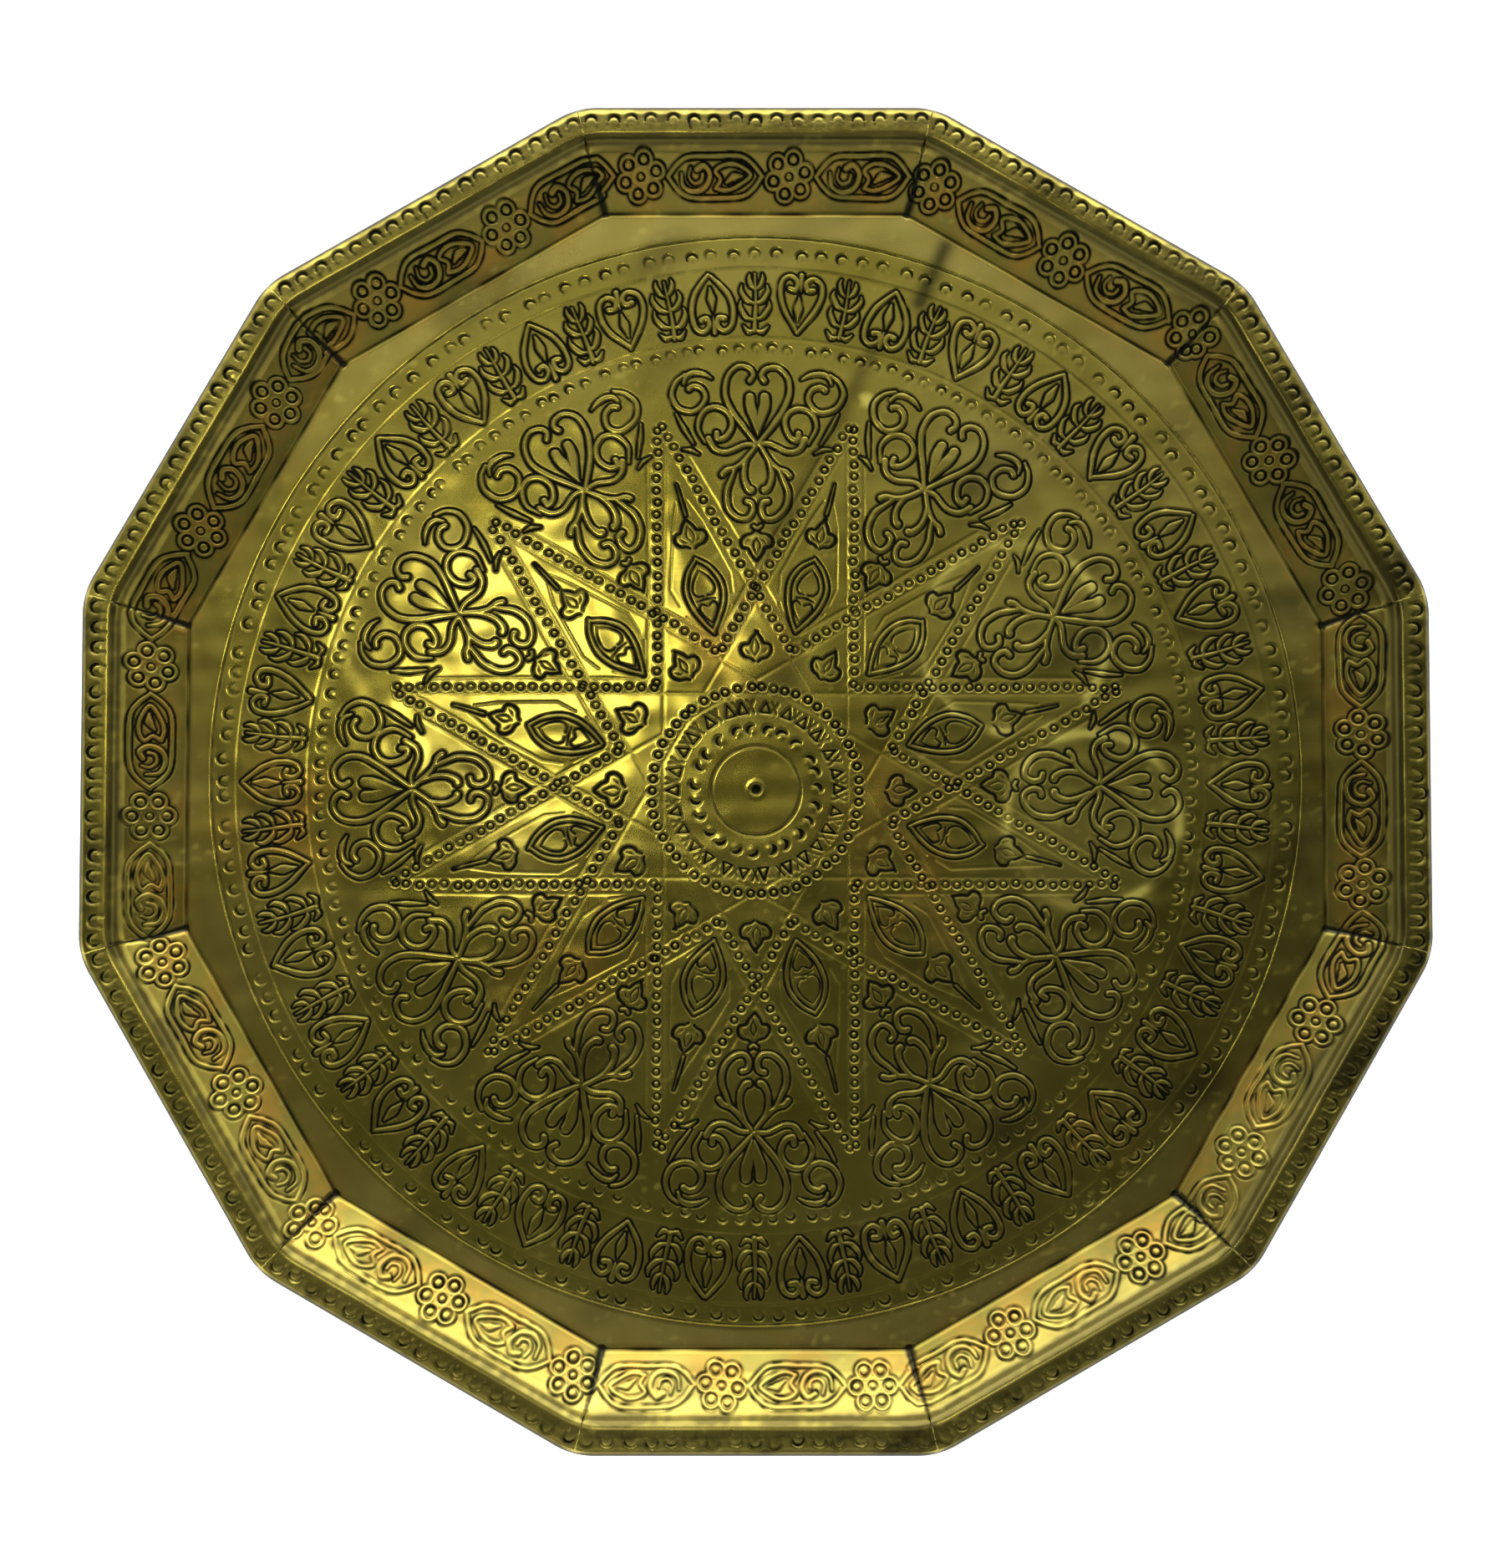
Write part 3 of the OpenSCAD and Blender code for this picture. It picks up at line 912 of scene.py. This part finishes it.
def wood_material(name, turn=0.0, upright=True, tint=0.0):
    """Dark oiled walnut with its grain along the piece; turn is the panel's angle about Z."""
    m = Nodes(bpy.data.materials.new(name))
    along = (42, 42, 2.2) if upright else (2.2, 42, 42)
    stretch = m.mapping(m.place(turn=-turn), along, Location=(turn * 3.1, tint * 7, turn))
    grain = m.noise(stretch, 1.0, 6, 0.62, 0.9)
    figure = m.noise(stretch, 0.28, 3, 0.5, 2.2)
    fibre = m.mapping(stretch, (7, 7, 1.6) if upright else (1.6, 7, 7))
    pores = m.noise(fibre, 2.0, 3, 0.7)
    cloud = m.noise(m.place(), 9, 4, 0.6)
    base = m.ramp(grain, (0.30, (0.018, 0.0075, 0.0035)), (0.48, (0.046, 0.018, 0.007)),
                  (0.62, (0.088, 0.036, 0.013)), (0.8, (0.048, 0.018, 0.007)))
    base = m.mix(m.math("MULTIPLY", figure, 0.5), base, (0.064, 0.022, 0.007, 1))
    dark = m.ramp(pores, (0.36, 1.0), (0.47, 0.0))
    base = m.mix(m.math("MULTIPLY", dark, 0.7), base, (0.012, 0.006, 0.0035, 1))
    worn = m.ramp(cloud, (0.5, 0.0), (0.78, 1.0))
    base = m.mix(m.math("MULTIPLY", worn, 0.3), base, (0.13, 0.060, 0.024, 1))
    rough = m.math("MULTIPLY_ADD", grain, 0.22, 0.30)
    rough = m.math("ADD", rough, m.math("MULTIPLY", dark, 0.2), clamp=True)
    height = m.math("SUBTRACT", m.math("MULTIPLY", grain, 0.5), m.math("MULTIPLY", dark, 0.5))
    return m.shader({"Base Color": base, "Roughness": rough, "Coat Weight": 0.12, "Coat Roughness": 0.35,
                     "Normal": m.bump(height, 0.00025, 0.7)})


def fitting_material(name, base_dark, base_light):
    """Cast brass fittings, brown where they have dulled and brighter where they are handled."""
    m = Nodes(bpy.data.materials.new(name))
    at = m.place()
    cloud = m.noise(at, 60, 5, 0.65, 0.3)
    fine = m.noise(at, 700, 4, 0.6)
    base = m.ramp(cloud, (0.32, base_dark), (0.68, base_light))
    spots = m.ramp(fine, (0.56, 0.0), (0.70, 1.0))
    base = m.mix(m.math("MULTIPLY", spots, 0.55), base, (0.06, 0.042, 0.015, 1))
    rough = m.math("MULTIPLY_ADD", cloud, 0.3, 0.18)
    rough = m.math("ADD", rough, m.math("MULTIPLY", spots, 0.2), clamp=True)
    return m.shader({"Base Color": base, "Metallic": 1.0, "Roughness": rough,
                     "Normal": m.bump(fine, 0.00006, 0.8)})


def dress(node, material, width):
    """Gives a CAD node its material and eases its edges."""
    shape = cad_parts[node]
    if shape.data.materials:
        for i in range(len(shape.data.materials)):
            shape.data.materials[i] = material
    else:
        shape.data.materials.append(material)
    ease = shape.modifiers.new("eased_edges", "BEVEL")
    ease.width = width
    ease.segments = 2
    ease.limit_method = "ANGLE"
    ease.angle_limit = math.radians(40)
    ease.use_clamp_overlap = True
    ease.harden_normals = True


def lathe(verts, faces, start, axis, across, up, profile, sides):
    """Adds a turned piece: profile is (run along the axis, radius) from its start point."""
    first = len(verts)
    for run, radius in profile:
        for i in range(sides):
            t = 2 * math.pi * i / sides
            verts.append(start + axis * run + (across * math.cos(t) + up * math.sin(t)) * radius)
    for j in range(len(profile) - 1):
        for i in range(sides):
            a = first + j * sides + i
            b = first + j * sides + (i + 1) % sides
            faces.append((a, b, b + sides, a + sides))
    faces.append(tuple(first + i for i in reversed(range(sides))))
    last = first + (len(profile) - 1) * sides
    faces.append(tuple(last + i for i in range(sides)))


def chamfered_block(verts, faces, middle, axes, half, cut):
    """Adds a cube with its edges planed off, as the square blocks of the lattice are."""
    levels = ((-half, half - cut), (-half + cut, half), (half - cut, half), (half, half - cut))
    first = len(verts)
    across, deep, up = axes
    for z, r in levels:
        inner = r - cut
        eight = ((inner, -r), (r, -inner), (r, inner), (inner, r),
                 (-inner, r), (-r, inner), (-r, -inner), (-inner, -r))
        for x, y in eight:
            verts.append(middle + across * x + deep * y + up * z)
    for j in range(3):
        for i in range(8):
            a = first + 8 * j + i
            b = first + 8 * j + (i + 1) % 8
            faces.append((a, b, b + 8, a + 8))
    faces.append(tuple(first + i for i in reversed(range(8))))
    faces.append(tuple(first + 24 + i for i in range(8)))


def bead_profile(length, thin, bead):
    """A spindle between two blocks: cove, fillet, ball, fillet, cove."""
    run = [(0.0, thin * 1.35), (0.07, thin * 1.3), (0.12, thin), (0.22, thin * 0.92), (0.27, thin * 1.12),
           (0.30, thin * 1.12), (0.315, thin * 0.95)]
    ball = [(0.5 + 0.17 * math.sin(t), thin * 0.9 + (bead - thin * 0.9) * math.cos(t))
            for t in np.linspace(-math.pi / 2, math.pi / 2, 9)]
    half = run + ball[:5]
    rest = [(1 - at, radius) for at, radius in reversed(half[:-1])]
    return [(at * length, radius) for at, radius in half + rest]


def half_profile(length, thin):
    """The short spindle between an outer block and the frame."""
    run = ((0.0, 1.35), (0.12, 1.3), (0.22, 1.0), (0.5, 0.9), (0.72, 1.0), (0.8, 1.35), (1.0, 1.4))
    return [(at * length, thin * radius) for at, radius in run]


def make_lattice(k, material):
    """The turned grille of one panel: five spindles each way, with a block where they cross.
    Sizes here are in metres."""
    low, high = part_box("panel_1_lattice")
    turn = Matrix.Rotation(math.radians(60 * (k - 1)), 3, "Z")
    across, deep, up = turn @ Vector((1, 0, 0)), turn @ Vector((0, 1, 0)), Vector((0, 0, 1))
    count, sides = 5, 14
    half, thin, bead = 0.007, 0.0030, 0.0058
    wide, tall = high.x - low.x, high.z - low.z
    step_x, step_z = wide / count, tall / count
    depth = (low.y + high.y) / 2
    verts, faces = [], []

    def at(x, z):
        return turn @ Vector((x, depth, z))

    for i in range(count):
        x = low.x + (i + 0.5) * step_x
        for j in range(count):
            z = low.z + (j + 0.5) * step_z
            chamfered_block(verts, faces, at(x, z), (across, deep, up), half, 0.0019)
            if i + 1 < count:
                gap = step_x - 2 * half
                lathe(verts, faces, at(x + half, z), across, deep, up, bead_profile(gap, thin, bead), sides)
            if j + 1 < count:
                gap = step_z - 2 * half
                lathe(verts, faces, at(x, z + half), up, across, deep, bead_profile(gap, thin, bead), sides)
        end = step_z / 2 - half
        top, bottom = at(x, high.z - end), at(x, low.z + end)
        lathe(verts, faces, top, up, across, deep, half_profile(end, thin), sides)
        lathe(verts, faces, bottom, -up, deep, across, half_profile(end, thin), sides)
    for j in range(count):
        z = low.z + (j + 0.5) * step_z
        end = step_x / 2 - half
        lathe(verts, faces, at(high.x - end, z), across, deep, up, half_profile(end, thin), sides)
        lathe(verts, faces, at(low.x + end, z), -across, up, deep, half_profile(end, thin), sides)
    me = bpy.data.meshes.new(f"panel_{k}_turned_lattice")
    me.from_pydata([tuple(v) for v in verts], [], faces)
    me.validate()
    me.update()
    me.shade_smooth()
    me.materials.append(material)
    grille = bpy.data.objects.new(f"panel_{k}_turned_lattice", me)
    bpy.context.collection.objects.link(grille)
    crisp = grille.modifiers.new("crisp_edges", "EDGE_SPLIT")
    crisp.split_angle = math.radians(38)
    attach(grille, f"panel_{k}")
    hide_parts(f"panel_{k}_lattice")


def make_stand():
    """Six panels of walnut with brass hinges, each dressed where it stands."""
    upright = wood_material("walnut_upright")
    turned = wood_material("walnut_turned", 0.0, True, 0.4)
    hinge = fitting_material("hinge_brass", (0.20, 0.135, 0.035), (0.52, 0.38, 0.11))
    screw = fitting_material("screw_brass", (0.24, 0.17, 0.05), (0.60, 0.46, 0.16))
    for k in range(1, 7):
        turn = math.radians(60 * (k - 1))
        level = wood_material(f"walnut_level_{k}", turn, False, 0.2)
        for piece, material, edge in (("stiles", upright, 1.4), ("top_rail", level, 1.4),
                                      ("mid_rail", level, 1.4), ("brackets", upright, 1.2),
                                      ("hinge_leaves_right", hinge, 0.3), ("hinge_leaves_left", hinge, 0.3),
                                      ("hinge_pins", hinge, 0.4), ("screws", screw, 0.1)):
            dress(f"panel_{k}_{piece}", material, edge * MM)
        make_lattice(k, turned)


make_stand()

# ---- floor, light and camera

def make_floor():
    """A pale floor that grows brighter with distance, so that it meets the pale horizon."""
    me = bpy.data.meshes.new("studio_floor")
    s = 16.0
    me.from_pydata([(-s, -s, 0), (s, -s, 0), (s, s, 0), (-s, s, 0)], [], [(0, 1, 2, 3)])
    floor = bpy.data.objects.new("studio_floor", me)
    bpy.context.collection.objects.link(floor)
    m = Nodes(bpy.data.materials.new("studio_floor"))
    tone = m.noise(m.place(), 2, 2)
    base = m.ramp(tone, (0.3, (0.86, 0.86, 0.85)), (0.7, (0.89, 0.89, 0.88)))
    away = m.add("ShaderNodeVectorMath", "Value", {0: m.place((1 / s, 1 / s, 0))}, operation="LENGTH")
    glow = m.ramp(away, (0.07, 0.0), (0.3, 0.8))
    me.materials.append(m.shader({"Base Color": base, "Roughness": 0.9, "Emission Strength": glow,
                                  "Emission Color": (1, 1, 1, 1)}))


def area_light(name, place, target, size, power, colour=(1, 1, 1)):
    data = bpy.data.lights.new(name, "AREA")
    data.shape = "RECTANGLE"
    data.size, data.size_y = size
    data.energy = power
    data.color = colour
    lamp = bpy.data.objects.new(name, data)
    lamp.location = place
    lamp.rotation_euler = (Vector(target) - Vector(place)).to_track_quat("-Z", "Y").to_euler()
    bpy.context.collection.objects.link(lamp)
    return lamp


def make_world():
    """A dim room with a bright wall behind the table and a pale horizon: the sum of three
    ramps, one on each part of the direction, from 0 against the axis to 1 along it."""
    world = bpy.data.worlds.new("studio")
    bpy.context.scene.world = world
    w = Nodes(world)
    sky = w.add("ShaderNodeTexCoord", "Generated", {})
    parts = {"X": ((0.10, 0.0), (0.40, 0.04), (0.50, 0.015), (0.60, 0.0)),
             "Y": ((0.03, 0.04), (0.11, 0.3), (0.20, 0.24), (0.46, 0.05), (0.52, 0.03), (0.62, 0.54),
                   (0.68, 0.34), (0.74, 0.42), (0.82, 1.4), (0.9, 3.3)),
             "Z": ((0.50, 0.95), (0.59, 0.88), (0.65, 0.07), (0.98, 0.052))}
    blue = {"X": 1.0, "Y": 1.12, "Z": 1.0}
    total = (0.0, 0.0, 0.0)
    for axis, stops in parts.items():
        along = w.add("ShaderNodeSeparateXYZ", axis, {"Vector": sky})
        tinted = [(at, (level, level, blue[axis] * level)) for at, level in stops]
        light = w.ramp(w.math("MULTIPLY_ADD", along, 0.5, 0.5), *tinted)
        total = w.add("ShaderNodeVectorMath", "Vector", {0: total, 1: light})
    w.feed(w.tree.nodes["Background"], {"Color": total})


def make_camera():
    """Nearly straight above the tray, a little to the front."""
    data = bpy.data.cameras.new("camera")
    camera = bpy.data.objects.new("camera", data)
    bpy.context.collection.objects.link(camera)
    distance, across, tilt = 1.5, 0.644, math.radians(3.5)
    aim = Vector((-0.0016, -0.0046, (TRAY_Z + DEPTH) * MM))
    camera.location = aim + distance * Vector((0, -math.sin(tilt), math.cos(tilt)))
    camera.rotation_euler = (tilt, 0, 0)
    data.sensor_width = 36
    data.sensor_fit = "HORIZONTAL"
    data.lens = 36 * distance / across
    data.clip_end = 50
    bpy.context.scene.camera = camera


def make_lights():
    """Four soft lamps that the metal doesn't mirror, and a small window that it does."""
    for name, place, power in (("left", (-2.4, -0.6, 2.2), 70), ("right", (2.4, -0.4, 2.2), 62),
                               ("front", (0.4, -2.6, 2.0), 62), ("back", (0, 2.4, 2.4), 70)):
        lamp = area_light(name, place, (0, 0, 0.15), (1.8, 1.4), power)
        lamp.visible_glossy = False
    window, bright_spot = (-0.166, 0.169, 1.654), (-0.092, 0.053, 0.441)
    area_light("window", window, bright_spot, (0.15, 0.13), 0.40, (1, 0.97, 0.82))


make_floor()
make_world()
make_lights()
make_camera()
bpy.context.scene.view_settings.view_transform = "Standard"
